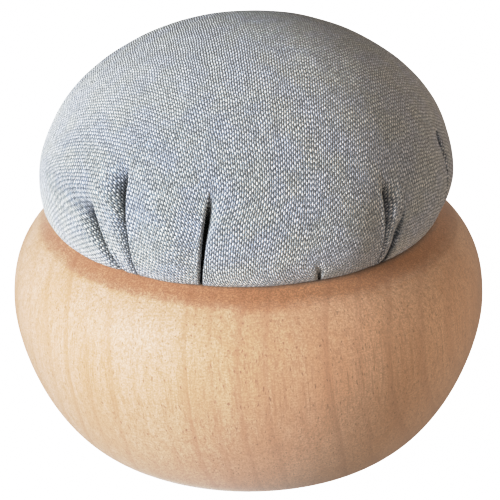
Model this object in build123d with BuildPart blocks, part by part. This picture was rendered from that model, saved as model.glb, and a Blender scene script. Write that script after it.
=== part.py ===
"""Pin cushion: a stuffed cloth cushion that sits in a turned wooden bowl.

Millimetres, +Z up. The origin is the centre of the felt foot's underside, where the
object rests on a table. Every piece is a solid of revolution about Z, apart from the
knot of the gathering thread.

The wooden bowl is turned from one block: a rounded belly, a crease below the rim, a
sloping rim band, a rounded lip and a straight recess for the cushion. The cushion is a
sewn unit that lifts straight out of the recess. Its layers are nested, so the inner
face of each layer is the outer face of the next one.
"""

import os
from math import cos, radians, sin, tan

from build123d import *

os.makedirs("parts", exist_ok=True)

# ---- Driving dimensions: bowl ----
BELLY_RADIUS = 45.0          # widest radius of the bowl
FELT_PROUD = 0.8             # the felt stands this far below the wood
BELLY_HEIGHT = 28.5          # widest point above the wood's foot
FOOT_RADIUS = 27.5
FOOT_SLOPE = 12.0            # degrees, where the belly leaves the foot
LIP_HEIGHT = 45.5            # top of the rounded lip above the wood's foot
LIP_CREST_RADIUS = 35.2      # distance of the lip's top from the axis
LIP_ROUNDING = 2.0           # its inner side is also the mouth of the recess
BAND_SLOPE = 33.0            # degrees, rim band falling outwards from the lip
CREASE_RADIUS = 39.6         # outer edge of the rim band
CREASE_SLOPE = 44.0          # degrees, where the belly meets the crease
CREASE_ROUNDING = 1.6
RECESS_FLOOR = 18.8          # height of the recess floor
RECESS_CORNER = 10.0         # radius between its wall and floor

# ---- Driving dimensions: felt pad under the foot ----
FOOT_PAD_RADIUS = 24.0
FOOT_PAD_THICKNESS = 1.5
FOOT_PAD_GAP = 0.3           # between the pad's edge and the wood around it

# ---- Driving dimensions: cushion ----
CUSHION_GAP = 0.4            # running clearance of the cushion in the recess
DOME_RADIUS = 38.8           # widest radius of the stuffed dome
DOME_CENTRE_HEIGHT = 55.0    # height of that widest point
DOME_RISE = 28.1             # from there to the top
DOME_FULLNESS = 0.55         # 0.552 makes the dome's section a quarter of an ellipse
OVERHANG_FULLNESS = 5.0      # how far the dome's side keeps upright below its widest point
OVERHANG_TURN = 2.6          # how far the dome lies level outside the lip
COVER_THICKNESS = 0.6
LINING_THICKNESS = 0.3
GATHERS_THICKNESS = 1.6      # cover under the board, where its gathers overlap
GATHER_HOLE_RADIUS = 12.0    # hole that the gathered cover leaves
BOARD_RADIUS = 27.0
BOARD_THICKNESS = 2.5
THREAD_DIAMETER = 1.0
KNOT_DIAMETER = 1.4
UNDERSIDE_DISC_RADIUS = 24.0
UNDERSIDE_DISC_THICKNESS = 1.5

# ---- Places that follow from the driving dimensions ----
foot_height = FELT_PROUD
belly_height = foot_height + BELLY_HEIGHT
lip_top = foot_height + LIP_HEIGHT
lip_centre_height = lip_top - LIP_ROUNDING
recess_radius = LIP_CREST_RADIUS - LIP_ROUNDING
corner_centre_height = RECESS_FLOOR + RECESS_CORNER

disc_bottom = RECESS_FLOOR + CUSHION_GAP
cushion_bottom = disc_bottom + UNDERSIDE_DISC_THICKNESS
neck_radius = recess_radius - CUSHION_GAP
neck_corner = corner_centre_height - cushion_bottom
board_bottom = cushion_bottom + GATHERS_THICKNESS
board_top = board_bottom + BOARD_THICKNESS
filling_inset = COVER_THICKNESS + LINING_THICKNESS
filling_bottom = board_top + LINING_THICKNESS
thread_radius = GATHER_HOLE_RADIUS - 0.6 * THREAD_DIAMETER
thread_height = cushion_bottom + GATHERS_THICKNESS / 2


def point_towards(start, distance, angle):
    """The point at a distance from start, at an angle in degrees above +X."""
    return (start[0] + distance * cos(radians(angle)), start[1] + distance * sin(radians(angle)))


def cushion_section(inset, bottom):
    """Half of the cushion's section, inset from its outer face and cut off flat at bottom.

    Its X is the distance from the cushion's axis and its Y is the height.
    """
    dome_edge = (DOME_RADIUS - inset, DOME_CENTRE_HEIGHT)
    dome_rise = DOME_RISE - inset
    dome_top = (0, DOME_CENTRE_HEIGHT + dome_rise)
    lip_gap = LIP_ROUNDING + CUSHION_GAP + inset
    over_lip = (LIP_CREST_RADIUS, lip_centre_height + lip_gap)
    neck_top = (LIP_CREST_RADIUS - lip_gap, lip_centre_height)
    neck_foot = (neck_radius - inset, corner_centre_height)
    corner_radius = neck_corner - inset
    corner_foot = (neck_foot[0] - corner_radius, neck_foot[1] - corner_radius)
    with BuildSketch() as section:
        with BuildLine():
            Bezier(
                dome_top,
                (DOME_FULLNESS * dome_edge[0], dome_top[1]),
                (dome_edge[0], DOME_CENTRE_HEIGHT + DOME_FULLNESS * dome_rise),
                dome_edge,
            )
            Bezier(
                dome_edge,
                (dome_edge[0], DOME_CENTRE_HEIGHT - OVERHANG_FULLNESS),
                (over_lip[0] + OVERHANG_TURN, over_lip[1]),
                over_lip,
            )
            TangentArc(over_lip, neck_top, tangent=(-1, 0))
            Line(neck_top, neck_foot)
            TangentArc(neck_foot, corner_foot, tangent=(0, -1))
            Polyline(corner_foot, (0, corner_foot[1]), dome_top)
        make_face()
        if bottom > corner_foot[1]:
            with Locations((0, bottom)):
                Rectangle(
                    2 * DOME_RADIUS,
                    DOME_RADIUS,
                    align=(Align.MIN, Align.MAX),
                    mode=Mode.SUBTRACT,
                )
    return section.sketch


# ---- Wooden bowl ----
crest_outer = point_towards((LIP_CREST_RADIUS, lip_centre_height), LIP_ROUNDING, 90 - BAND_SLOPE)
band_width = CREASE_RADIUS - crest_outer[0]
crease = (CREASE_RADIUS, crest_outer[1] - band_width * tan(radians(BAND_SLOPE)))
crest = (LIP_CREST_RADIUS, lip_top)
foot_edge = (FOOT_RADIUS, foot_height)
belly_edge = (BELLY_RADIUS, belly_height)
mouth_edge = (recess_radius, lip_centre_height)
wall_foot = (recess_radius, corner_centre_height)
floor_edge = (recess_radius - RECESS_CORNER, RECESS_FLOOR)

with BuildPart() as wooden_bowl:
    with BuildSketch(Plane.XZ) as bowl_section:
        with BuildLine():
            Polyline((0, lip_top), (0, foot_height), foot_edge)
            Bezier(
                foot_edge,
                point_towards(foot_edge, 11.3, FOOT_SLOPE),
                (BELLY_RADIUS, belly_height - 7.9),
                belly_edge,
            )
            Bezier(
                belly_edge,
                (BELLY_RADIUS, belly_height + 6.2),
                point_towards(crease, 5.5, -CREASE_SLOPE),
                crease,
            )
            Line(crease, crest_outer)
            TangentArc(crest_outer, crest, tangent=(-cos(radians(BAND_SLOPE)), sin(radians(BAND_SLOPE))))
            Line(crest, (0, lip_top))
        make_face()
        fillet(bowl_section.vertices().sort_by_distance(crease)[0], CREASE_ROUNDING)
    revolve(axis=Axis.Z)
    with BuildSketch(Plane.XZ):
        with BuildLine():
            TangentArc(crest, mouth_edge, tangent=(-1, 0))
            Line(mouth_edge, wall_foot)
            TangentArc(wall_foot, floor_edge, tangent=(0, -1))
            Polyline(floor_edge, (0, RECESS_FLOOR), (0, lip_top), crest)
        make_face()
    revolve(axis=Axis.Z, mode=Mode.SUBTRACT)
    with BuildSketch(Plane.XY):
        Circle(FOOT_PAD_RADIUS + FOOT_PAD_GAP)
    extrude(amount=FOOT_PAD_THICKNESS, mode=Mode.SUBTRACT)
wooden_bowl.part.label = "wooden_bowl"

# ---- Felt pad, glued into the shallow recess under the foot ----
with BuildPart() as felt_foot_pad:
    with BuildSketch(Plane.XY):
        Circle(FOOT_PAD_RADIUS)
    extrude(amount=FOOT_PAD_THICKNESS)
felt_foot_pad.part.label = "felt_foot_pad"

# ---- Cover: one circle of woven cloth, gathered under the board ----
with BuildPart() as cushion_cover:
    with BuildSketch(Plane.XZ):
        add(cushion_section(0, cushion_bottom))
        add(cushion_section(COVER_THICKNESS, board_bottom), mode=Mode.SUBTRACT)
        with Locations((0, cushion_bottom)):
            Rectangle(
                GATHER_HOLE_RADIUS,
                GATHERS_THICKNESS,
                align=(Align.MIN, Align.MIN),
                mode=Mode.SUBTRACT,
            )
    revolve(axis=Axis.Z)
cushion_cover.part.label = "cushion_cover"

# ---- Backing board, which the cover is drawn over ----
with BuildPart() as backing_board:
    with BuildSketch(Plane.XY.offset(board_bottom)):
        Circle(BOARD_RADIUS)
    extrude(amount=BOARD_THICKNESS)
backing_board.part.label = "backing_board"

# ---- Calico lining: the closed bag that holds the filling ----
with BuildPart() as calico_lining:
    with BuildSketch(Plane.XZ):
        add(cushion_section(COVER_THICKNESS, board_top))
        add(cushion_section(filling_inset, filling_bottom), mode=Mode.SUBTRACT)
    revolve(axis=Axis.Z)
calico_lining.part.label = "calico_lining"

# ---- Fibre filling ----
with BuildPart() as fibre_filling:
    with BuildSketch(Plane.XZ):
        add(cushion_section(filling_inset, filling_bottom))
    revolve(axis=Axis.Z)
fibre_filling.part.label = "fibre_filling"

# ---- Gathering thread: a drawn ring in the cover's hole, tied in a knot ----
with BuildPart() as gathering_thread:
    with BuildSketch(Plane.XZ):
        with Locations((thread_radius, thread_height)):
            Circle(THREAD_DIAMETER / 2)
    revolve(axis=Axis.Z)
    with Locations((thread_radius - THREAD_DIAMETER / 2, 0, thread_height)):
        Sphere(KNOT_DIAMETER / 2)
gathering_thread.part.label = "gathering_thread"

# ---- Felt disc that covers the gathers under the cushion ----
with BuildPart() as underside_disc:
    with BuildSketch(Plane.XY.offset(disc_bottom)):
        Circle(UNDERSIDE_DISC_RADIUS)
    extrude(amount=UNDERSIDE_DISC_THICKNESS)
underside_disc.part.label = "underside_disc"

export_step(wooden_bowl.part, "parts/wooden_bowl.step")
export_step(felt_foot_pad.part, "parts/felt_foot_pad.step")
export_step(cushion_cover.part, "parts/cushion_cover.step")
export_step(backing_board.part, "parts/backing_board.step")
export_step(calico_lining.part, "parts/calico_lining.step")
export_step(fibre_filling.part, "parts/fibre_filling.step")
export_step(gathering_thread.part, "parts/gathering_thread.step")
export_step(underside_disc.part, "parts/underside_disc.step")
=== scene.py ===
"""Pin cushion: the looks of the stuffed cloth cushion and of its turned wooden bowl.

Blender works in metres, in the frame of the CAD model: +Z up, the underside of the felt foot
at z = 0, the photographed side towards -Y. The shapes here are worked out in millimetres and
scaled by MM when they become meshes. Azimuths start at -Y and grow towards +X.
"""

from collections import namedtuple
from math import cos, pi, radians, sin, tan

import bpy
import numpy as np
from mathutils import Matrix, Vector, noise


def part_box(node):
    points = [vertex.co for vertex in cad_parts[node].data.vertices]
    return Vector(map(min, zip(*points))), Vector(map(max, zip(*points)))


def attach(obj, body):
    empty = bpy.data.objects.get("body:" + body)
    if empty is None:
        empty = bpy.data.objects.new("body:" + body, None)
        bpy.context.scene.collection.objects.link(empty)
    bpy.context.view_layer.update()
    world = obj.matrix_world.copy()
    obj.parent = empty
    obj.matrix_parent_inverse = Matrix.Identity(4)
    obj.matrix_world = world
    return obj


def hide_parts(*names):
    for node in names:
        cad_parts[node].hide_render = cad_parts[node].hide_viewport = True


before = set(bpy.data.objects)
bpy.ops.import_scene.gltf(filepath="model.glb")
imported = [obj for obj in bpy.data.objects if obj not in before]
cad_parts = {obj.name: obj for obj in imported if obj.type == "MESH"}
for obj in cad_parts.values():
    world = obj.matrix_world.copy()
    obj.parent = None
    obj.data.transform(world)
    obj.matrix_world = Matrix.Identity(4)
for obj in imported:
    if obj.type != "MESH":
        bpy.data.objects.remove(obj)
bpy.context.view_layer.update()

MM = 0.001


def box_mm(node):
    """A CAD node's lowest and highest corners, in millimetres."""
    low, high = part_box(node)
    return np.array(low) / MM, np.array(high) / MM


# ---- Sizes from the frame ----
bowl_top = box_mm("wooden_bowl")[1][2]
board_top = box_mm("backing_board")[1][2]
cover_low, cover_high = box_mm("cushion_cover")
disc_low, disc_high = box_mm("underside_disc")
pad_low, pad_high = box_mm("felt_foot_pad")
thread_low, thread_high = box_mm("gathering_thread")

# ---- The bowl's lip, which the cloth lies on, as the CAD model has it ----
LIP_CREST = np.array([35.2, bowl_top])
LIP_ROUNDING = 2.0
BAND_SLOPE = radians(33.0)
CREASE_RADIUS = 39.6

# ---- The stuffed form ----
DOME_RADIUS = 38.8
DOME_CENTRE = 55.0           # height of its widest point
DOME_POWER = 1.95            # 2 would be an ellipse
FULLER_AZIMUTH = radians(-90)
FULLER_RADIUS = 0.4          # the form is this much wider on that side, and narrower opposite,
FULLER_CENTRE = -0.4         # with a lower widest point
FULLER_POWER = -0.08         # and a less full shoulder
OVERHANG_UPRIGHT = 4.6       # how far the cloth keeps upright below its widest point
OVERHANG_LEAN = 1.2          # and how much further where the cushion leans over the rim
LIP_APPROACH = 1.8           # over this length it comes in level to the lip
CLOTH_LIFT = 0.15            # gap between the cloth and the wood it rests on
NECK_RADIUS = 32.8           # of the cushion inside the recess
CORNER_RADIUS = 8.1          # at the foot of its neck
HOLE_RADIUS = 12.0           # hole that the gathered cloth leaves underneath
SAG_AZIMUTH = radians(-70)   # the cushion leans over the rim on this side
SAG_REACH = 0.9              # how much further out it then touches the lip
LUMP_SIZE = 17.0             # soft unevenness of the stuffing
LUMP_HEIGHT = 0.30
RIPPLE_SIZE = 6.0
RIPPLE_HEIGHT = 0.10

# Rows of the cover's mesh in each stretch of its profile, from the top down
DOME_ROWS = 56
OVERHANG_ROWS = 22
BAND_ROWS = 5
LIP_ROWS = 7
NECK_ROWS = 8
CORNER_ROWS = 9
BASE_ROWS = 8

# ---- Tucks in the cover ----
# lip and tip are azimuths in degrees, and height is the tip's height. strength 1 makes a tuck
# as deep as FOLD_OUT. on_top is 1 where the lobe of smaller azimuth lies on top, and -1 where
# the other one does. The lobe underneath takes the distance flank to come up again, and at the
# lip the share closing of it.
Tuck = namedtuple("Tuck", "lip tip height strength on_top flank closing")
TUCKS = (
    Tuck(-34.6, -48.0, 61.0, 1.50, -1, 4.6, 0.70),
    Tuck(-31.1, -36.4, 67.5, 1.25, -1, 3.6, 0.25),
    Tuck(-13.9, -11.0, 65.5, 0.60, 1, 1.7, 0.06),
    Tuck(20.0, 17.5, 51.0, 0.60, 1, 0.9, 0.15),
    Tuck(39.3, 39.0, 64.0, 1.25, 1, 2.8, 0.12),
    Tuck(43.5, 47.5, 58.5, 0.30, -1, 2.6, 0.30),
    Tuck(73.5, 76.0, 66.0, 0.90, -1, 1.4, 0.15),
    Tuck(98.0, 95.0, 63.0, 0.85, 1, 2.2, 0.15),
    Tuck(121.0, 124.5, 67.0, 1.00, 1, 1.6, 0.10),
    Tuck(143.0, 141.0, 58.0, 0.80, -1, 2.8, 0.30),
    Tuck(168.0, 171.5, 66.5, 0.95, 1, 1.5, 0.10),
    Tuck(190.0, 186.5, 62.5, 0.85, -1, 2.6, 0.20),
    Tuck(212.0, 216.0, 68.0, 0.95, -1, 1.8, 0.12),
    Tuck(233.0, 231.0, 59.0, 0.80, 1, 2.4, 0.30),
    Tuck(254.0, 257.0, 65.0, 0.90, -1, 2.0, 0.15),
)
TUCK_GROWTH = 7.5            # from a tuck's tip to its full depth, along the cloth
TUCK_CLOTH = radians(3.4)    # cloth that a tuck's two edges take up
LOBE_STEP = radians(1.05)    # width of the mesh's columns between tucks
LOBE_LEAST_STEPS = 6         # and their least number in a narrow lobe
CROWDING = 0.137             # how much closer together they stand next to a tuck
LOBE_CROWN = 0.3             # how far the lobes between the tucks bulge
VALLEY = 0.3                 # how far both lobes dip towards a tuck
VALLEY_REACH = 3.5
UNDER_DIP = 3.5              # further dip of the lobe that lies underneath
FLANK_POWER = 1.45           # roundness of that lobe's flank: 1 is a slope, 2 an ellipse
TIP_FLANK = 1.4              # at the tuck's tip the flank is this many times as long
CLOSING_RATE = 1.3           # above 1, it gets to its length at the lip before the lip
LIP_PRESS = 0.82             # how much of the tucks' depth the bowl's lip presses flat
FADE_ROWS = 10               # the stuffing's lumps fade out over this many rows above the lip
LIP_SHADE = 0.15             # painted shade on the cloth above the lip, as in a crease
SEAM_SHADE = 0.12            # and painted shadow right at the wood,
SEAM_SHADOW_VARIATION = 0.3           # where it varies by so much
SEAM_SHADOW_WAVES = 8         # roughly so many times on each side
PRESS_ROWS = (13, 12)        # rows above the lip where the pressing starts, and rows it takes
SHADE_ROWS = (12, 10)        # the same for the painted shade
SEAM_ROWS = (2, 3)           # and for the painted shadow at the wood
INNER_THIN = 0.6             # thickness of the cover over the dome
INNER_BUNCHED = 4.9          # and where the tucks bunch it up
INNER_RECESS = 1.0           # and inside the recess
INNER_ROW_STEP = 4           # the cover's inner side has a ring for every so many outer ones

# ---- Section across a tuck ----
# The lobe of smaller azimuth lies on top: its layer runs to the fold, goes back underneath,
# turns and comes out again as the lower layer.
FOLD_ACROSS = np.array([
    -0.8, -0.55, -0.3, -0.1, 0.05, 0.12, 0.1, -0.1, -0.5, -0.9,
    -1.1, -0.9, -0.55, -0.25, 0.0, 0.15, 0.3,
])
FOLD_OUT = np.concatenate([
    [0, 0.06, 0.1, 0.06, -0.1, -0.45, -0.9, -1.5, -2.2, -2.9],
    np.array([-0.1, -0.5, -0.65, -0.6, -0.45, -0.25, 0]) - UNDER_DIP,
])
FOLD_COLUMNS = len(FOLD_ACROSS)
HIDDEN = slice(6, 13)        # steps of the section that nobody sees,
HIDDEN_CLOTH = 0.05          # which hold little of the patterned cloth
INNERMOST = slice(9, 11)     # points on either side of the section's turn
fold_steps = np.hypot(np.diff(FOLD_ACROSS), np.diff(FOLD_OUT))
fold_steps[HIDDEN] *= HIDDEN_CLOTH
CLOTH_ALONG = np.concatenate([[0], np.cumsum(fold_steps)]) / fold_steps.sum()
FOLD_MIDDLE = CLOTH_ALONG[INNERMOST].mean()
LOBE_GATHER = 1.05           # cloth in a lobe to the lobe's own width, where its tucks are full

# ---- Inside the cover ----
LINING_GAP = 0.15
LINING_THICKNESS = 0.3
INSIDE_COLUMNS = 128
INSIDE_ROW_STEP = 2
BOARD_GAP = 0.1              # between the board and the lining that lies on it
FILLING_GAP = 0.15

# ---- Felt discs ----
FELT_FLAT_RINGS = 12         # rings of the mesh on each flat face, and round the edge
FELT_EDGE_RINGS = 9
FELT_FLAT_RANGE = (0.1, 0.97)  # where the first and last ring of a flat face lie
FELT_SQUARENESS = 0.7        # 1 would make the edge half a circle
FELT_UNEVEN = 0.12           # how far the edge is trimmed in, on average
FELT_UNEVEN_COUNT = 3        # roughly so many bumps on each side
FELT_EDGE_POWER = 6          # how close to the edge this stays

# ---- Stage ----
FLOOR_REACH = 3000.0         # radius of the floor
FLOOR_UNDER_FOOT = 0.5       # how far the floor reaches in under the foot pad
FLOOR_GAP = 0.1              # between the floor and the foot
FLOOR_SIDES = 64
BACKDROP = 1.95              # brightness of the floor and the room, as the camera sees them
ROOM_LIGHT = 0.235           # and as the object does
ROOM_COLOUR = (1.0, 0.92, 0.83, 1)
WHITE = (1, 1, 1, 1)
CAMERA_PLACE = (0, -0.4074, 0.2190)    # in metres, like the aim and the lights
CAMERA_AIM = (0.0003, 0, 0.0375)
CAMERA_LENS = 167.5
SENSOR_WIDTH = 36
# Each brightness of light with the brightness that the film shows, and the light for white
FILM_CURVE = (
    (0.2, 0.178), (0.4, 0.39), (0.55, 0.575), (0.7, 0.70),
    (0.85, 0.79), (1.0, 0.855), (1.4, 0.945),
)
FILM_WHITE = 2.0


# ================================ mesh helpers ================================


def smoothstep(x):
    """From 0 at x = 0 to 1 at x = 1, with no kink at either."""
    x = np.clip(x, 0, 1)
    return x * x * (3 - 2 * x)


def make_object(name, points, faces, body):
    """A smooth-shaded mesh object from points in millimetres, riding on a CAD body."""
    mesh = bpy.data.meshes.new(name)
    mesh.from_pydata([tuple(p) for p in np.asarray(points) * MM], [], faces)
    mesh.shade_smooth()
    mesh.validate()
    obj = bpy.data.objects.new(name, mesh)
    bpy.context.scene.collection.objects.link(obj)
    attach(obj, body)
    return obj


def ring_faces(rows, columns, first=0):
    """Quads between rings of points, each ring going round by growing azimuth, from the top down."""
    faces = []
    for row in range(rows - 1):
        upper = first + row * columns
        lower = upper + columns
        for a in range(columns):
            b = (a + 1) % columns
            faces.append((upper + a, lower + a, lower + b, upper + b))
    return faces


def cap_faces(pole, ring, columns, facing_up):
    """A fan of triangles from a pole to a ring."""
    fan = []
    for a in range(columns):
        b = (a + 1) % columns
        fan.append((pole, ring + a, ring + b) if facing_up else (pole, ring + b, ring + a))
    return fan


def ring_noise(azimuth, frequency, seed):
    """Smooth noise round a circle, for an array of azimuths."""
    places = [Vector((frequency * sin(a), frequency * cos(a), seed)) for a in azimuth]
    return np.array([noise.noise(place) for place in places])


def around(radius, azimuth, height):
    """Points from polar coordinates; azimuth 0 is -Y."""
    return np.stack([radius * np.sin(azimuth), -radius * np.cos(azimuth), height], axis=-1)


# ============================== the stuffed form ==============================


def lip_path(distance):
    """A point of the cloth where it lies on the lip, and its inward direction.

    The distance is measured from the lip's crest, outwards down the rim band, and
    inwards round the lip's inner edge where it is negative.
    """
    reach = LIP_ROUNDING + CLOTH_LIFT
    centre = LIP_CREST - (0, LIP_ROUNDING)
    on_arc = np.minimum(distance, reach * BAND_SLOPE)
    angle = on_arc / reach
    point = np.stack([centre[0] + reach * np.sin(angle), centre[1] + reach * np.cos(angle)], axis=-1)
    inward = np.stack([-np.cos(angle), np.sin(angle)], axis=-1)
    return point - inward * (distance - on_arc)[..., None], inward


def bezier(points, t):
    """Points at each t, for every column, of a curve with four control points."""
    a, b, c, d = points
    t = t[:, None, None]
    return (1 - t) ** 3 * a + 3 * (1 - t) ** 2 * t * b + 3 * (1 - t) * t**2 * c + t**3 * d


def form_profile(azimuth):
    """Radius and height of the form's surface, as an array of rows by columns by 2."""
    columns = len(azimuth)
    fuller = np.cos(azimuth - FULLER_AZIMUTH)
    widest = DOME_RADIUS + FULLER_RADIUS * fuller
    centre = DOME_CENTRE + FULLER_CENTRE * fuller
    power = 2 / (DOME_POWER + FULLER_POWER * fuller)
    side = np.stack([widest, centre], axis=-1)

    t = ((np.arange(DOME_ROWS) + 1) / (DOME_ROWS + 1) * pi / 2)[:, None]
    dome = np.stack([
        widest * np.sin(t) ** power,
        centre + (cover_high[2] - centre) * np.cos(t) ** power,
    ], axis=-1)

    lean = np.cos(azimuth - SAG_AZIMUTH)
    touch_at = SAG_REACH * lean
    touch, inward = lip_path(touch_at)
    upright = np.stack([np.zeros(columns), OVERHANG_UPRIGHT + OVERHANG_LEAN * lean], axis=-1)
    overhang = bezier(
        (side, side - upright, touch - inward * LIP_APPROACH, touch),
        np.arange(OVERHANG_ROWS) / OVERHANG_ROWS,
    )

    quarter = (LIP_ROUNDING + CLOTH_LIFT) * pi / 2
    ways = (np.arange(BAND_ROWS + LIP_ROWS) / (BAND_ROWS + LIP_ROWS))[:, None]
    lip = lip_path(touch_at * (1 - ways) - quarter * ways)[0]

    neck_top = lip_path(np.array([-quarter]))[0][0]
    neck_foot = (NECK_RADIUS, cover_low[2] + CORNER_RADIUS)
    ways = (np.arange(NECK_ROWS) / NECK_ROWS)[:, None]
    neck = neck_top * (1 - ways) + neck_foot * ways

    angle = np.arange(CORNER_ROWS) / CORNER_ROWS * pi / 2
    corner = np.stack([
        NECK_RADIUS - CORNER_RADIUS + CORNER_RADIUS * np.cos(angle),
        cover_low[2] + CORNER_RADIUS - CORNER_RADIUS * np.sin(angle),
    ], axis=-1)

    base = np.stack([
        np.linspace(NECK_RADIUS - CORNER_RADIUS, HOLE_RADIUS, BASE_ROWS),
        np.full(BASE_ROWS, cover_low[2]),
    ], axis=-1)

    below = np.concatenate([neck, corner, base])
    below = np.repeat(below[:, None, :], columns, axis=1)
    return np.concatenate([dome, overhang, lip, below])


ROWS = DOME_ROWS + OVERHANG_ROWS + BAND_ROWS + LIP_ROWS + NECK_ROWS + CORNER_ROWS + BASE_ROWS
LIP_ROW = DOME_ROWS + OVERHANG_ROWS


def outward_normals(profile):
    """Unit normals of the form's surface, as radius and height."""
    along = np.gradient(profile, axis=0)
    normals = np.stack([-along[..., 1], along[..., 0]], axis=-1)
    return normals / np.linalg.norm(normals, axis=-1, keepdims=True)


def cloth_distance(profile):
    """Distance along the cloth from the top of the dome to each row."""
    steps = np.linalg.norm(np.diff(profile, axis=0), axis=-1)
    top = np.hypot(profile[:1, :, 0], cover_high[2] - profile[:1, :, 1])
    return np.concatenate([top, top + np.cumsum(steps, axis=0)])


# ================================== the cover ==================================


def lump(point):
    """Broad unevenness of the stuffing at a point."""
    return LUMP_HEIGHT * noise.noise(Vector(point) / LUMP_SIZE)


def ripple(point):
    """Fine unevenness of the stuffing at a point."""
    return RIPPLE_HEIGHT * noise.noise(Vector(point) / RIPPLE_SIZE)


def nearing_lip(rows_above, rows):
    """For each row of the cover: 0 above the lip, growing to 1 over some rows."""
    return smoothstep((np.arange(ROWS) - (LIP_ROW - rows_above)) / rows)


def crowded(x):
    """Evenly spaced numbers from 0 to 1, moved closer together at both ends."""
    return x - CROWDING * sin(2 * pi * x)


# A column of the cover's mesh lies in a tuck, or in the lobe that follows it. place is where,
# from 0 to 1, and point is its point of the fold's section.
Column = namedtuple("Column", "tuck place point in_lobe")


def cover_columns():
    """The cover's columns, one after the other round the cushion."""
    columns = []
    for i, tuck in enumerate(TUCKS):
        mirrored = tuck.on_top < 0
        for k in range(FOLD_COLUMNS):
            point = FOLD_COLUMNS - 1 - k if mirrored else k
            along = 1 - CLOTH_ALONG[point] if mirrored else CLOTH_ALONG[point]
            columns.append(Column(i, along, point, False))
        following = TUCKS[(i + 1) % len(TUCKS)]
        width = radians((following.lip - tuck.lip) % 360)
        steps = max(LOBE_LEAST_STEPS, round(width / LOBE_STEP))
        columns += [Column(i, crowded(k / steps), 0, True) for k in range(1, steps)]
    return columns


def tuck_lines(tucks, height, distance):
    """Azimuth of every tuck at each row, its depth, its growth below the tip and its way down
    to the lip, as arrays of rows by tucks."""
    tip = np.interp(-tucks.height, -height[:LIP_ROW], distance[:LIP_ROW])
    below_tip = distance[:, None] - tip
    grown = smoothstep(below_tip / TUCK_GROWTH)
    way = np.clip(below_tip / (distance[LIP_ROW] - tip), 0, 1)
    return np.radians(tucks.tip + (tucks.lip - tucks.tip) * way), tucks.strength * grown, grown, way


def lobe_dive(away, underneath, flank):
    """How far a lobe has sunk, from 0 to 1, at a distance away from the tuck it lies under."""
    near = 1 - np.clip(away / flank, 0, 1)
    return underneath * (1 - (1 - near**FLANK_POWER) ** (1 / FLANK_POWER))


def lobe_surface(columns, tucks, line, depth, way, radius):
    """Azimuth of the columns in the lobes, how far they stand out, and how far they have sunk.

    A lobe is spread evenly between the edges of its two tucks.
    """
    tuck_of = columns.tuck
    next_of = (tuck_of + 1) % len(TUCKS)
    turn = np.where(next_of < tuck_of, 2 * pi, 0)
    flat_half = (1 - depth) * TUCK_CLOTH / 2
    mean_radius = radius.mean(axis=1, keepdims=True)
    # Half widths of a tuck, on the side of its upper and of its lower layer
    upper_half = -FOLD_ACROSS[0] / mean_radius
    lower_half = FOLD_ACROSS[-1] / mean_radius
    before = flat_half + depth * np.where(tucks.on_top > 0, upper_half, lower_half)
    after = flat_half + depth * np.where(tucks.on_top > 0, lower_half, upper_half)
    start = line[:, tuck_of] + after[:, tuck_of]
    end = line[:, next_of] + turn - before[:, next_of]
    azimuth = start + (end - start) * columns.place
    from_start = (azimuth - start) * radius
    to_end = (end - azimuth) * radius

    flank = tucks.flank * (TIP_FLANK + (tucks.closing - TIP_FLANK) * smoothstep(way * CLOSING_RATE))
    start_depth = depth[:, tuck_of]
    end_depth = depth[:, next_of]
    sunk = start_depth * lobe_dive(from_start, tucks.on_top[tuck_of] > 0, flank[:, tuck_of])
    sunk += end_depth * lobe_dive(to_end, tucks.on_top[next_of] < 0, flank[:, next_of])
    out = -UNDER_DIP * sunk
    out -= VALLEY * start_depth * np.exp(-((from_start / VALLEY_REACH) ** 2))
    out -= VALLEY * end_depth * np.exp(-((to_end / VALLEY_REACH) ** 2))
    out += LOBE_CROWN * (start_depth + end_depth) / 2 * np.sin(pi * columns.place)
    return azimuth, out, sunk


def fold_surface(columns, tucks, line, depth, radius):
    """Azimuth of the columns in the tucks, and how far they stand out.

    A tuck has the section of a fold, flattened out above the tuck's tip.
    """
    tuck_of = columns.tuck
    across = np.where(tucks.on_top[tuck_of] < 0, -1, 1) * FOLD_ACROSS[columns.point]
    k = depth[:, tuck_of]
    azimuth = line[:, tuck_of] + (1 - k) * (columns.place - 0.5) * TUCK_CLOTH + k * across / radius
    return azimuth, k * (FOLD_OUT[columns.point] - VALLEY)


def azimuth_on_flat_cloth(points, columns, tucks, line, grown, distance):
    """Azimuth of each point on the flat circle of cloth, before it is gathered.

    A lobe holds hardly more cloth than its own width, and what is left over lies inside
    its tucks.
    """
    tuck_of = columns.tuck
    steps = np.linalg.norm(np.diff(points, axis=1, append=points[:, :1]), axis=2)
    along = np.cumsum(steps, axis=1) - steps
    tuck_first = np.searchsorted(tuck_of, np.arange(len(TUCKS)))
    lobe_start = along[:, tuck_first + FOLD_COLUMNS - 1]
    lobe_end = np.concatenate([along[:, tuck_first[1:]], steps.sum(axis=1, keepdims=True)], axis=1)
    lobe_length = lobe_end - lobe_start

    sector = np.diff(line, append=line[0] + 2 * pi)
    spare = sector - TUCK_CLOTH - LOBE_GATHER * lobe_length / distance.mean(axis=1, keepdims=True)
    spare_after = grown * spare / 2
    spare_before = np.roll(grown, -1, axis=1) * spare / 2

    lobe_place = (along - lobe_start[:, tuck_of]) / lobe_length[:, tuck_of]
    lobe_cloth = sector - TUCK_CLOTH - spare_after - spare_before
    lobe_first = line + TUCK_CLOTH / 2 + spare_after
    in_lobes = lobe_first[:, tuck_of] + lobe_place * lobe_cloth[:, tuck_of]

    fold_middle = np.where(tucks.on_top[tuck_of] < 0, 1 - FOLD_MIDDLE, FOLD_MIDDLE)
    spare_ahead = -np.roll(spare_before, 1, axis=1)[:, tuck_of]
    spread = np.where(columns.place < fold_middle, spare_ahead, spare_after[:, tuck_of])
    in_folds = line[tuck_of] + (columns.place - 0.5) * TUCK_CLOTH + spread
    return np.where(columns.in_lobe, in_lobes, in_folds)


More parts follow.
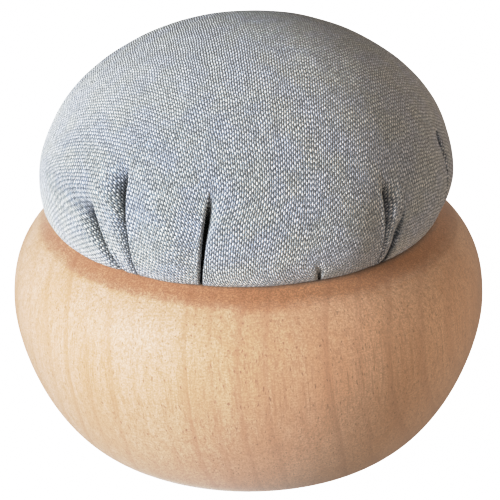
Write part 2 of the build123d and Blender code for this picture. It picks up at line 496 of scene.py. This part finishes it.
def painted_crease_shade(columns, azimuth, depth, sunk):
    """Painted shade for each point of the outer side: 0 on top, up to 1 and more in a crease, with
    painted shade above the lip and a painted shadow along the wood.
    """
    in_fold = np.clip(-FOLD_OUT[columns.point] / UNDER_DIP, 0, 1) * depth[:, columns.tuck]
    crease_shade = np.where(columns.in_lobe, sunk, in_fold)
    # Painted shade above the lip, and a painted shadow at the wood that varies along it
    shaded = LIP_SHADE * nearing_lip(*SHADE_ROWS)[:, None]
    seam_shadow = SEAM_SHADE + SEAM_SHADOW_VARIATION * ring_noise(azimuth[LIP_ROW], SEAM_SHADOW_WAVES, 0)
    return np.maximum(crease_shade, shaded + nearing_lip(*SEAM_ROWS)[:, None] * seam_shadow)


def add_attribute(obj, name, kind, field, values):
    """Stores one value for each of a mesh's points."""
    attribute = obj.data.attributes.new(name, kind, "POINT")
    attribute.data.foreach_set(field, values.astype(np.float32).ravel())


def make_cover():
    """The cover, and how thick it is at each row of its profile."""
    tucks = Tuck(*np.array(TUCKS).T)
    columns = Column(*(np.array(item) for item in zip(*cover_columns())))
    lip_azimuth = np.radians(tucks.lip)
    lobe_width = np.diff(lip_azimuth, append=lip_azimuth[0] + 2 * pi)
    way_along = np.where(columns.in_lobe, columns.place * lobe_width[columns.tuck], 0)
    plain_azimuth = lip_azimuth[columns.tuck] + way_along

    profile = form_profile(plain_azimuth)
    normals = outward_normals(profile)
    radius = profile[..., 0]
    distance = cloth_distance(profile)
    line, depth, grown, way = tuck_lines(tucks, profile[..., 1].mean(axis=1), distance.mean(axis=1))
    lobe_azimuth, lobe_out, sunk = lobe_surface(columns, tucks, line, depth, way, radius)
    fold_azimuth, fold_out = fold_surface(columns, tucks, line, depth, radius)
    azimuth = np.where(columns.in_lobe, lobe_azimuth, fold_azimuth)

    # Against the lip and inside the recess the folds are pressed flatter
    at_lip = nearing_lip(*PRESS_ROWS)
    out = np.where(columns.in_lobe, lobe_out, fold_out) * (1 - LIP_PRESS * at_lip)[:, None]

    # Soft unevenness of the stuffing, fading out where the cloth meets the wood
    plain = around(radius, azimuth, profile[..., 1])
    lumps = np.array([[lump(p) + ripple(p) for p in ring] for ring in plain[:LIP_ROW]])
    fade = smoothstep((LIP_ROW - np.arange(LIP_ROW)) / FADE_ROWS)
    out[:LIP_ROW] += lumps * fade[:, None]
    points = around(radius + out * normals[..., 0], azimuth, profile[..., 1] + out * normals[..., 1])
    top = np.array([[0, 0, cover_high[2] + lump((0, 0, cover_high[2]))]])

    # The cloth's inner side: thin over the dome, thick where the folds are bunched up
    bunched = INNER_THIN + (INNER_BUNCHED - INNER_THIN) * depth.max(axis=1)
    bunched += (INNER_RECESS - bunched) * at_lip
    inner_profile = (profile - bunched[:, None, None] * normals)[::-INNER_ROW_STEP]
    inner_azimuth = np.broadcast_to(plain_azimuth, inner_profile.shape[:2])
    inner = around(inner_profile[..., 0], inner_azimuth, inner_profile[..., 1])
    inner_top = top - (0, 0, INNER_THIN)

    rings = ROWS + len(inner)
    width = len(plain_azimuth)
    faces = ring_faces(rings, width)
    faces += cap_faces(rings * width, 0, width, True)
    faces += cap_faces(rings * width + 1, (rings - 1) * width, width, False)
    vertices = np.concatenate([points.reshape(-1, 3), inner.reshape(-1, 3), top, inner_top])
    cover = make_object("cushion_cover_cloth", vertices, faces, "cushion")

    # Painted crease shade for each vertex, and its place on the flat cloth
    crease_shade = painted_crease_shade(columns, azimuth, depth, sunk).ravel()
    crease_shade = np.concatenate([crease_shade, np.zeros(len(vertices) - len(crease_shade))])
    add_attribute(cover, "crease_shade", "FLOAT", "value", crease_shade)
    flat_azimuth = azimuth_on_flat_cloth(points, columns, tucks, line[0], grown, distance)
    flat = around(distance, flat_azimuth, np.zeros_like(distance))
    inner_flat = flat[::-INNER_ROW_STEP]
    flat = np.concatenate([flat.reshape(-1, 3), inner_flat.reshape(-1, 3), np.zeros((2, 3))])
    add_attribute(cover, "cloth", "FLOAT_VECTOR", "vector", flat * MM)
    return cover, bunched


# ============================ inside and underneath ============================


def inside_surface(bunched, gap, floor_height):
    """Rings and poles of a surface that follows the form from within the cover, a gap away
    from its inner side, and is flat where it reaches the floor height."""
    azimuth = np.arange(INSIDE_COLUMNS) / INSIDE_COLUMNS * 2 * pi
    profile = form_profile(azimuth)
    profile = (profile - (bunched[:, None, None] + gap) * outward_normals(profile))[::INSIDE_ROW_STEP]
    height = np.maximum(profile[..., 1], floor_height)
    rings = around(profile[..., 0], azimuth, height)
    poles = np.array([[0, 0, cover_high[2] - INNER_THIN - gap], [0, 0, floor_height]])
    return rings, poles


def closed_surface(rings, poles, first, facing_out):
    """Points and faces of rings closed by a pole at the top and one at the bottom."""
    rows, columns, _ = rings.shape
    top = first + rows * columns
    faces = ring_faces(rows, columns, first)
    faces += cap_faces(top, first, columns, True)
    faces += cap_faces(top + 1, first + (rows - 1) * columns, columns, False)
    if not facing_out:
        faces = [face[::-1] for face in faces]
    return np.concatenate([rings.reshape(-1, 3), poles]), faces


def make_lining(bunched):
    floor = board_top + BOARD_GAP
    around_it = inside_surface(bunched, LINING_GAP, floor)
    within = inside_surface(bunched, LINING_GAP + LINING_THICKNESS, floor + LINING_THICKNESS)
    outer, faces = closed_surface(*around_it, 0, True)
    inner, inner_faces = closed_surface(*within, len(outer), False)
    return make_object("lining_bag", np.concatenate([outer, inner]), faces + inner_faces, "cushion")


def make_filling(bunched):
    gap = LINING_GAP + LINING_THICKNESS + FILLING_GAP
    within = inside_surface(bunched, gap, board_top + BOARD_GAP + FILLING_GAP + LINING_THICKNESS)
    return make_object("stuffing", *closed_surface(*within, 0, True), "cushion")


def make_felt_disc(name, low, high, body):
    """A disc of felt with softly rounded and slightly uneven edges, in the place of a CAD disc."""
    radius = high[0]
    half = (high[2] - low[2]) / 2
    turns = np.linspace(0, pi, FELT_EDGE_RINGS)
    flat = np.linspace(*FELT_FLAT_RANGE, FELT_FLAT_RINGS) * (radius - half)
    across = np.concatenate([flat, radius - half + half * np.sin(turns) ** FELT_SQUARENESS, flat[::-1]])
    height = np.concatenate([
        np.full(FELT_FLAT_RINGS, high[2]),
        low[2] + half + half * np.cos(turns),
        np.full(FELT_FLAT_RINGS, low[2]),
    ])
    azimuth = np.arange(INSIDE_COLUMNS) / INSIDE_COLUMNS * 2 * pi
    edge = (across[:, None] / radius) ** FELT_EDGE_POWER
    uneven = FELT_UNEVEN * (1 + ring_noise(azimuth, FELT_UNEVEN_COUNT, radius))
    height = np.repeat(height[:, None], INSIDE_COLUMNS, 1)
    rings = around(across[:, None] - uneven * edge, azimuth, height)
    poles = np.array([[0, 0, high[2]], [0, 0, low[2]]])
    return make_object(name, *closed_surface(rings, poles, 0, True), body)


# ================================== materials ==================================


class Nodes:
    """Short calls for building one material's node tree."""

    def __init__(self, name):
        self.material = bpy.data.materials.new(name)
        self.material.use_nodes = True
        self.tree = self.material.node_tree
        self.tree.nodes.clear()
        self.shader = self.add("ShaderNodeBsdfPrincipled")
        self.output = self.add("ShaderNodeOutputMaterial")
        self.link(self.shader.outputs[0], self.output.inputs["Surface"])

    def add(self, kind, **settings):
        """A new node with these settings."""
        node = self.tree.nodes.new(kind)
        for key, value in settings.items():
            setattr(node, key, value)
        return node

    def link(self, source, target):
        self.tree.links.new(source, target)

    def feed(self, value, target):
        """Gives an input a constant, or links it to an output."""
        if isinstance(value, bpy.types.NodeSocket):
            self.link(value, target)
        else:
            target.default_value = value

    def math(self, operation, *values):
        node = self.add("ShaderNodeMath", operation=operation)
        for value, target in zip(values, node.inputs):
            self.feed(value, target)
        return node.outputs[0]

    def vector_math(self, operation, *values):
        node = self.add("ShaderNodeVectorMath", operation=operation)
        for value, target in zip(values, node.inputs):
            self.feed(value, target)
        return node.outputs[0]

    def length(self, vector):
        node = self.add("ShaderNodeVectorMath", operation="LENGTH")
        self.link(vector, node.inputs[0])
        return node.outputs["Value"]

    def parts(self, vector):
        node = self.add("ShaderNodeSeparateXYZ")
        self.link(vector, node.inputs[0])
        return node.outputs

    def joined(self, x=0.0, y=0.0, z=0.0):
        node = self.add("ShaderNodeCombineXYZ")
        for value, target in zip((x, y, z), node.inputs):
            self.feed(value, target)
        return node.outputs[0]

    def noise(self, vector, scale=1.0, detail=2.0, roughness=0.5):
        node = self.add("ShaderNodeTexNoise")
        self.link(vector, node.inputs["Vector"])
        node.inputs["Scale"].default_value = scale
        node.inputs["Detail"].default_value = detail
        node.inputs["Roughness"].default_value = roughness
        return node.outputs[0]

    def ramp(self, value, low, high, to_low=0.0, to_high=1.0):
        """A value's smooth step from to_low, up to low, to to_high, from high on."""
        node = self.add("ShaderNodeMapRange", interpolation_type="SMOOTHSTEP")
        for item, target in zip((value, low, high, to_low, to_high), node.inputs):
            self.feed(item, target)
        return node.outputs[0]

    def mix(self, factor, first, second, blend="MIX"):
        node = self.add("ShaderNodeMix", data_type="RGBA", blend_type=blend)
        self.feed(factor, node.inputs[0])
        self.feed(first, node.inputs[6])
        self.feed(second, node.inputs[7])
        return node.outputs[2]

    def bump(self, height, distance, strength):
        node = self.add("ShaderNodeBump")
        self.feed(height, node.inputs["Height"])
        node.inputs["Distance"].default_value = distance
        node.inputs["Strength"].default_value = strength
        return node.outputs[0]

    def object_place(self):
        return self.add("ShaderNodeTexCoord").outputs["Object"]


WARP_PITCH = 0.46 * MM       # between neighbouring threads of the cloth lying flat
WEFT_PITCH = 0.49 * MM
WEAVE_TURN = radians(6.0)    # of the cloth on the cushion
THREAD_WANDER = 1.5          # how far the threads stray, in threads
THREAD_SLIP = 0.5            # how far the stitches of a warp thread are shifted along it
THREAD_APART = 7.31          # step in the noise from one thread to the next
SLUB_RATE = 0.3              # step in the noise from one stitch to the next
RING_WIDTH = 4.8             # growth rings of the wood, in millimetres
RING_WANDER = 5.0            # how far they stray
RING_APART = 3.7             # step in the noise from one ring to the next
PITH = (-260.0, 25.0)        # X and Y of the tree's middle
PAINTED_SHADED_SIDE = (-30.0, 40.0)    # X where the painted shade starts to redden the wood, and where it is reddest
PAINTED_SHADED_SIDE_WANDER = 10.0
GRAIN_LEAN = 0.09            # slope of the fibres from upright
CALICO_PITCH = 0.35 * MM     # of the lining's weave
TWIST_PITCH = 0.9            # of the thread's strands, in millimetres


def thread_coordinates(n):
    """A point's place on the flat cloth, counted in threads, and the same with threads that
    run and slip unevenly."""
    place = n.add("ShaderNodeAttribute", attribute_name="cloth").outputs["Vector"]
    x, y, _ = n.parts(place)
    u = n.math("ADD", n.math("MULTIPLY", x, cos(WEAVE_TURN)), n.math("MULTIPLY", y, sin(WEAVE_TURN)))
    v = n.math("MULTIPLY", y, cos(WEAVE_TURN))
    v = n.math("SUBTRACT", v, n.math("MULTIPLY", x, sin(WEAVE_TURN)))
    threads = n.joined(n.math("DIVIDE", u, WARP_PITCH), n.math("DIVIDE", v, WEFT_PITCH))
    wander = n.math("SUBTRACT", n.noise(threads, scale=0.12, detail=2.0), 0.5)
    u, v, _ = n.parts(threads)
    u = n.math("ADD", u, n.math("MULTIPLY", wander, THREAD_WANDER))
    v = n.math("SUBTRACT", v, n.math("MULTIPLY", wander, THREAD_WANDER))
    slip = n.add("ShaderNodeTexWhiteNoise", noise_dimensions="1D")
    n.link(n.math("FLOOR", u), slip.inputs["W"])
    v = n.math("ADD", v, n.math("MULTIPLY", slip.outputs["Value"], THREAD_SLIP))
    return threads, u, v


def cloth_material():
    """Plain weave of heathered pale and blue-grey yarns, in the coordinates of the flat cloth."""
    n = Nodes("woven_cover_cloth")
    threads, u, v = thread_coordinates(n)

    # Height of the warp and of the weft as they pass over and under each other
    wave_u = n.math("SINE", n.math("MULTIPLY", u, pi))
    wave_v = n.math("SINE", n.math("MULTIPLY", v, pi))
    crossing = n.math("MULTIPLY", wave_u, wave_v)
    warp = n.math("MULTIPLY", n.math("ADD", n.math("ABSOLUTE", wave_u), crossing), 0.5)
    weft = n.math("MULTIPLY", n.math("SUBTRACT", n.math("ABSOLUTE", wave_v), crossing), 0.5)
    height = n.math("MAXIMUM", warp, weft)
    warp_on_top = n.ramp(n.math("SUBTRACT", warp, weft), -0.08, 0.08)

    # Pale warp, blue-grey weft and bluer patches. Each thread has noise of its own, which
    # changes slowly along it.
    warp_thread = n.math("MULTIPLY", n.math("FLOOR", u), THREAD_APART)
    weft_thread = n.math("MULTIPLY", n.math("FLOOR", v), THREAD_APART)
    warp_yarn = n.noise(n.joined(warp_thread, n.math("MULTIPLY", v, SLUB_RATE)), detail=2.0)
    weft_yarn = n.noise(n.joined(n.math("MULTIPLY", u, SLUB_RATE), weft_thread, 40.0), detail=2.0)
    warp_colour = n.mix(n.ramp(warp_yarn, 0.35, 0.65), (0.94, 0.965, 1.0, 1), (0.84, 0.88, 0.93, 1))
    weft_colour = n.mix(n.ramp(weft_yarn, 0.35, 0.65), (0.20, 0.242, 0.29, 1), (0.285, 0.335, 0.395, 1))
    yarn = n.mix(warp_on_top, weft_colour, warp_colour)
    patch = n.noise(threads, scale=0.11, detail=3.0)
    yarn = n.mix(n.ramp(patch, 0.5, 0.72, 0.0, 0.2), yarn, (0.30, 0.37, 0.46, 1))

    # Each stitch has its own brightness, each area its tint, and the fibres are speckled
    stitch = n.add("ShaderNodeTexWhiteNoise", noise_dimensions="2D")
    n.link(n.joined(n.math("FLOOR", u), n.math("FLOOR", v)), stitch.inputs["Vector"])
    yarn = n.mix(1.0, yarn, n.ramp(stitch.outputs["Value"], 0.0, 1.0, 0.76, 1.34), "MULTIPLY")
    area = n.ramp(n.noise(threads, scale=0.07, detail=3.0), 0.35, 0.65)
    tint = n.mix(area, (0.97, 0.985, 1.06, 1), (1.03, 1.02, 0.97, 1))
    yarn = n.mix(1.0, yarn, tint, "MULTIPLY")
    speckle = n.noise(threads, scale=0.8, detail=3.0, roughness=0.6)
    yarn = n.mix(1.0, yarn, n.ramp(speckle, 0.3, 0.7, 0.78, 1.12), "MULTIPLY")

    # Painted shade between the threads and in the creases
    shade_between_threads = n.ramp(height, 0.02, 0.56, 0.16, 1.0)
    colour = n.mix(1.0, yarn, shade_between_threads, "MULTIPLY")
    # Painted shade: the cloth is darkened in the tucks, above the lip and along the wood
    crease_shade = n.add("ShaderNodeAttribute", attribute_name="crease_shade").outputs["Fac"]
    colour = n.mix(1.0, colour, n.ramp(crease_shade, 0.02, 0.6, 1.0, 0.08), "MULTIPLY")
    n.link(colour, n.shader.inputs["Base Color"])
    n.link(n.bump(height, distance=0.26 * MM, strength=1.0), n.shader.inputs["Normal"])
    n.shader.inputs["Roughness"].default_value = 0.92
    n.link(n.ramp(crease_shade, 0.02, 0.4, 0.85, 0.0), n.shader.inputs["Sheen Weight"])
    n.shader.inputs["Sheen Roughness"].default_value = 0.5
    return n.material


def wood_material(crease_height):
    """Pale turned maple: its fibres nearly upright, its growth rings nearly square to X."""
    n = Nodes("turned_maple")
    place = n.vector_math("SCALE", n.object_place())
    place.node.inputs["Scale"].default_value = 1 / MM
    x, y, z = n.parts(place)

    def stretched(across, along, detail, seed=0.0):
        """Noise in cells of 1 / across by 1 / along millimetres, long side along the fibres."""
        leaning = n.math("ADD", x, n.math("MULTIPLY", z, GRAIN_LEAN))
        up = n.math("ADD", n.math("MULTIPLY", z, along), seed)
        scaled = n.joined(n.math("MULTIPLY", leaning, across), n.math("MULTIPLY", y, across), up)
        return n.noise(scaled, detail=detail)

    # Growth rings, some with more late wood than others
    wander = stretched(0.05, 0.018, 2.0, 7.0)
    from_pith = n.length(n.joined(n.math("SUBTRACT", x, PITH[0]), n.math("SUBTRACT", y, PITH[1])))
    ring_at = n.math("ADD", from_pith, n.math("MULTIPLY", z, GRAIN_LEAN))
    ring_at = n.math("ADD", ring_at, n.math("MULTIPLY", wander, RING_WANDER))
    ring_at = n.math("DIVIDE", ring_at, RING_WIDTH)
    in_ring = n.math("FRACT", ring_at)
    ring_number = n.math("FLOOR", ring_at)
    ring_mark = n.noise(n.joined(n.math("MULTIPLY", ring_number, RING_APART)), detail=0.0)
    late_wood = n.math("MULTIPLY", n.ramp(in_ring, 0.62, 0.93), n.ramp(in_ring, 1.0, 0.95))
    late_wood = n.math("MULTIPLY", late_wood, n.ramp(ring_mark, 0.3, 0.7, 0.15, 1.0))

    # Fibres, the flecks of the rays, pores, and the roughness that the turning leaves
    broad = stretched(0.09, 0.03, 2.0)
    streak = stretched(0.9, 0.035, 3.0, 3.0)
    hair = stretched(2.6, 0.09, 2.0, 23.0)
    fleck = n.noise(n.vector_math("MULTIPLY", place, (0.7, 0.7, 4.2)), detail=2.0)
    pore = stretched(3.4, 1.1, 0.0, 11.0)
    grit = n.noise(place, scale=3.5, detail=1.0)

    tone = n.math("ADD", n.math("MULTIPLY", streak, 0.45), n.math("MULTIPLY", broad, 0.55))
    colour = n.mix(n.ramp(tone, 0.34, 0.66), (0.805, 0.575, 0.425, 1), (0.71, 0.465, 0.315, 1))
    # Painted light and shade: paler and cooler towards -X where the key light falls, redder and warmer
    # towards +X in the shade, with a random wander
    painted_shaded_side = n.ramp(n.math("ADD", x, n.math("MULTIPLY", wander, PAINTED_SHADED_SIDE_WANDER)), *PAINTED_SHADED_SIDE)
    tint = n.mix(painted_shaded_side, (0.97, 0.962, 1.02, 1), (1.02, 0.985, 0.87, 1))
    colour = n.mix(1.0, colour, tint, "MULTIPLY")
    colour = n.mix(n.math("MULTIPLY", late_wood, 0.42), colour, (0.50, 0.275, 0.165, 1))
    colour = n.mix(n.ramp(hair, 0.48, 0.68, 0.0, 0.5), colour, (0.50, 0.30, 0.19, 1))
    colour = n.mix(n.ramp(fleck, 0.5, 0.7, 0.0, 0.45), colour, (0.55, 0.35, 0.22, 1))
    colour = n.mix(n.ramp(grit, 0.38, 0.62, 0.0, 0.46), colour, (0.50, 0.30, 0.18, 1))
    colour = n.mix(n.ramp(pore, 0.72, 0.78, 0.0, 0.5), colour, (0.26, 0.14, 0.08, 1))

    # End grain, on the rim band and under the foot, takes up more oil and is darker and redder
    patchy = n.math("MULTIPLY", n.math("SUBTRACT", tone, 0.5), 2.5)
    band = n.ramp(n.math("ADD", z, patchy), crease_height - 0.5, crease_height + 1.6)
    down = n.math("MULTIPLY", n.parts(n.add("ShaderNodeNewGeometry").outputs["Normal"])[2], -1.0)
    end_grain = n.math("MAXIMUM", band, n.ramp(down, 0.6, 0.95))
    # The stain is painted the same way: paler on the lit side, redder on the shaded side
    stain = n.mix(painted_shaded_side, (0.80, 0.70, 0.575, 1), (0.765, 0.58, 0.395, 1))
    stained = n.mix(1.0, colour, stain, "MULTIPLY")
    stained = n.mix(n.ramp(grit, 0.38, 0.62, 0.0, 0.42), stained, (0.36, 0.16, 0.065, 1))
    colour = n.mix(end_grain, colour, stained)
    n.link(colour, n.shader.inputs["Base Color"])

    relief = n.math("ADD", n.math("MULTIPLY", streak, 0.5), n.math("MULTIPLY", pore, 0.6))
    n.link(n.bump(relief, distance=0.03 * MM, strength=0.6), n.shader.inputs["Normal"])
    n.link(n.ramp(grit, 0.3, 0.7, 0.52, 0.66), n.shader.inputs["Roughness"])
    n.shader.inputs["Specular IOR Level"].default_value = 0.35
    n.link(n.ramp(end_grain, 0.0, 1.0, 0.4, 0.6), n.shader.inputs["Sheen Weight"])
    n.shader.inputs["Sheen Roughness"].default_value = 0.5
    return n.material


def felt_material(name, colour, darker):
    """Pressed wool: a tangle of short fibres."""
    n = Nodes(name)
    place = n.object_place()
    tangle = n.noise(place, scale=900.0, detail=4.0, roughness=0.7)
    cloud = n.noise(place, scale=160.0, detail=3.0)
    shade = n.math("ADD", n.math("MULTIPLY", tangle, 0.6), n.math("MULTIPLY", cloud, 0.4))
    n.link(n.mix(n.ramp(shade, 0.38, 0.62), darker, colour), n.shader.inputs["Base Color"])
    n.link(n.bump(tangle, distance=0.25 * MM, strength=0.8), n.shader.inputs["Normal"])
    n.shader.inputs["Roughness"].default_value = 0.95
    n.shader.inputs["Sheen Weight"].default_value = 0.4
    return n.material


def calico_material():
    """Unbleached cotton in a close plain weave, with dark seed flecks."""
    n = Nodes("unbleached_calico")
    place = n.object_place()
    x, y, z = n.parts(place)
    wave_a = n.math("SINE", n.math("MULTIPLY", x, pi / CALICO_PITCH))
    wave_b = n.math("SINE", n.math("MULTIPLY", n.math("ADD", y, z), pi / CALICO_PITCH))
    crossing = n.math("MULTIPLY", wave_a, wave_b)
    colour = n.mix(n.ramp(crossing, -0.5, 0.5), (0.66, 0.60, 0.48, 1), (0.78, 0.73, 0.61, 1))
    fleck = n.noise(place, scale=700.0, detail=2.0)
    colour = n.mix(n.ramp(fleck, 0.68, 0.74, 0.0, 0.5), colour, (0.30, 0.22, 0.13, 1))
    n.link(colour, n.shader.inputs["Base Color"])
    n.link(n.bump(crossing, distance=0.08 * MM, strength=0.7), n.shader.inputs["Normal"])
    n.shader.inputs["Roughness"].default_value = 0.9
    return n.material


def fibre_material():
    """White polyester wadding."""
    n = Nodes("polyester_fibre")
    place = n.object_place()
    drawn_out = n.vector_math("MULTIPLY", place, (260.0, 700.0, 1500.0))
    strands = n.noise(drawn_out, detail=5.0, roughness=0.7)
    colour = n.mix(n.ramp(strands, 0.3, 0.7), (0.70, 0.70, 0.69, 1), (0.90, 0.90, 0.89, 1))
    n.link(colour, n.shader.inputs["Base Color"])
    n.link(n.bump(strands, distance=0.6 * MM, strength=0.7), n.shader.inputs["Normal"])
    n.shader.inputs["Roughness"].default_value = 0.95
    return n.material


def board_material():
    """Grey-brown card with short paper fibres."""
    n = Nodes("grey_card")
    place = n.object_place()
    fibre = n.noise(n.vector_math("MULTIPLY", place, (1400.0, 500.0, 900.0)), detail=3.0)
    cloud = n.noise(place, scale=90.0, detail=3.0)
    colour = n.mix(n.ramp(cloud, 0.35, 0.65), (0.40, 0.31, 0.215, 1), (0.47, 0.375, 0.27, 1))
    colour = n.mix(n.ramp(fibre, 0.55, 0.72, 0.0, 0.4), colour, (0.24, 0.175, 0.12, 1))
    n.link(colour, n.shader.inputs["Base Color"])
    n.shader.inputs["Roughness"].default_value = 0.85
    return n.material


def thread_material(ring_radius):
    """Strong pale thread of twisted strands, running round the vertical axis."""
    n = Nodes("waxed_thread")
    x, y, z = n.parts(n.object_place())
    along = n.math("MULTIPLY", n.math("ARCTAN2", y, x), ring_radius / TWIST_PITCH)
    out = n.math("SUBTRACT", n.length(n.joined(x, y)), ring_radius * MM)
    twist = n.math("ADD", along, n.math("DIVIDE", n.math("ADD", out, z), TWIST_PITCH * MM))
    strand = n.math("ABSOLUTE", n.math("SINE", n.math("MULTIPLY", twist, pi)))
    # Painted shade: darker in the grooves between the strands
    colour = n.mix(n.ramp(strand, 0.0, 0.6), (0.27, 0.28, 0.29, 1), (0.62, 0.63, 0.64, 1))
    n.link(colour, n.shader.inputs["Base Color"])
    n.link(n.bump(strand, distance=0.15 * MM, strength=0.8), n.shader.inputs["Normal"])
    n.shader.inputs["Roughness"].default_value = 0.6
    return n.material


def floor_material():
    """White where the camera sees it, darker for the light it throws back, and clear from below."""
    n = Nodes("pale_floor")
    n.shader.inputs["Base Color"].default_value = (0.03, 0.03, 0.03, 1)
    n.shader.inputs["Roughness"].default_value = 1.0
    seen = n.add("ShaderNodeLightPath").outputs["Is Camera Ray"]
    n.link(n.mix(seen, ROOM_COLOUR, WHITE), n.shader.inputs["Emission Color"])
    n.link(n.ramp(seen, 0.0, 1.0, ROOM_LIGHT, BACKDROP), n.shader.inputs["Emission Strength"])
    clear = n.add("ShaderNodeMixShader")
    n.link(n.add("ShaderNodeNewGeometry").outputs["Backfacing"], clear.inputs[0])
    n.link(n.shader.outputs[0], clear.inputs[1])
    n.link(n.add("ShaderNodeBsdfTransparent").outputs[0], clear.inputs[2])
    n.link(clear.outputs[0], n.output.inputs["Surface"])
    return n.material


# ================================ pieces ================================

cover, cover_inside = make_cover()
cover.data.materials.append(cloth_material())
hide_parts("cushion_cover")

lining = make_lining(cover_inside)
lining.data.materials.append(calico_material())
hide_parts("calico_lining")

filling = make_filling(cover_inside)
filling.data.materials.append(fibre_material())
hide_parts("fibre_filling")

underside = make_felt_disc("underside_felt_disc", disc_low, disc_high, "cushion")
underside.data.materials.append(felt_material("grey_felt", (0.36, 0.37, 0.39, 1), (0.23, 0.24, 0.26, 1)))
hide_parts("underside_disc")

foot = make_felt_disc("foot_felt_disc", pad_low, pad_high, "bowl")
foot.data.materials.append(felt_material("brown_felt", (0.30, 0.24, 0.185, 1), (0.19, 0.15, 0.115, 1)))
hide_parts("felt_foot_pad")

crease_height = LIP_CREST[1] - (CREASE_RADIUS - LIP_CREST[0]) * tan(BAND_SLOPE)
thread_radius = thread_high[0] - (thread_high[2] - thread_low[2]) / 2
for node, material in (
    ("wooden_bowl", wood_material(crease_height)),
    ("backing_board", board_material()),
    ("gathering_thread", thread_material(thread_radius)),
):
    for material_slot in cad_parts[node].material_slots:
        material_slot.material = material


# ================================ stage ================================


def make_floor():
    """A wide ring whose hole lies under the foot, so that the foot can be seen from below."""
    mesh = bpy.data.meshes.new("floor")
    azimuth = np.arange(FLOOR_SIDES) / FLOOR_SIDES * 2 * pi
    radius = np.array([[pad_high[0] - FLOOR_UNDER_FOOT], [FLOOR_REACH]])
    rings = around(radius, azimuth, np.full((2, FLOOR_SIDES), -FLOOR_GAP))
    mesh.from_pydata([tuple(p) for p in rings.reshape(-1, 3) * MM], [], ring_faces(2, FLOOR_SIDES))
    floor = bpy.data.objects.new("floor", mesh)
    floor.data.materials.append(floor_material())
    bpy.context.scene.collection.objects.link(floor)


def aimed(place, aim):
    """The rotation of a lamp or camera at a place that looks at another one."""
    return (Vector(aim) - Vector(place)).to_track_quat("-Z", "Y").to_euler()


def disc_light(name, place, aim, size, power, colour):
    """A round lamp: place, aim and size in metres, power in watts."""
    light = bpy.data.lights.new(name, "AREA")
    light.shape = "DISK"
    light.size = size
    light.energy = power
    light.color = colour
    obj = bpy.data.objects.new(name, light)
    obj.location = place
    obj.rotation_euler = aimed(place, aim)
    bpy.context.scene.collection.objects.link(obj)


def make_camera():
    data = bpy.data.cameras.new("camera")
    data.sensor_width = SENSOR_WIDTH
    data.lens = CAMERA_LENS
    camera = bpy.data.objects.new("camera", data)
    camera.location = CAMERA_PLACE
    camera.rotation_euler = aimed(CAMERA_PLACE, CAMERA_AIM)
    bpy.context.scene.collection.objects.link(camera)
    bpy.context.scene.camera = camera


def film_tone(points, white):
    """A film's response: highlights are rolled off softly and lose colour."""
    view = bpy.context.scene.view_settings
    view.view_transform = "Standard"
    view.use_curve_mapping = True
    mapping = view.curve_mapping
    mapping.white_level = (white, white, white)
    # The curve for the three colours together
    curve = mapping.curves[3]
    for light, shown in points:
        curve.points.new(light / white, shown)
    mapping.update()


def make_world():
    """Dim warm light all round, which the camera sees as white."""
    world = bpy.data.worlds.new("studio")
    world.use_nodes = True
    tree = world.node_tree
    background = tree.nodes["Background"]
    background.inputs["Color"].default_value = ROOM_COLOUR
    background.inputs["Strength"].default_value = ROOM_LIGHT
    white = tree.nodes.new("ShaderNodeBackground")
    white.inputs["Color"].default_value = WHITE
    white.inputs["Strength"].default_value = BACKDROP
    choice = tree.nodes.new("ShaderNodeMixShader")
    tree.links.new(tree.nodes.new("ShaderNodeLightPath").outputs["Is Camera Ray"], choice.inputs[0])
    tree.links.new(background.outputs[0], choice.inputs[1])
    tree.links.new(white.outputs[0], choice.inputs[2])
    tree.links.new(choice.outputs[0], tree.nodes["World Output"].inputs["Surface"])
    bpy.context.scene.world = world


film_tone(FILM_CURVE, FILM_WHITE)
make_floor()
middle = (0, 0, 0.045)
disc_light("key", (-0.93, -0.68, 0.33), middle, size=0.5, power=19.6, colour=(0.94, 0.975, 1.0))
disc_light("fill", (0.55, -0.2, 0.05), middle, size=0.3, power=1.42, colour=(1.0, 0.755, 0.555))
make_world()
make_camera()
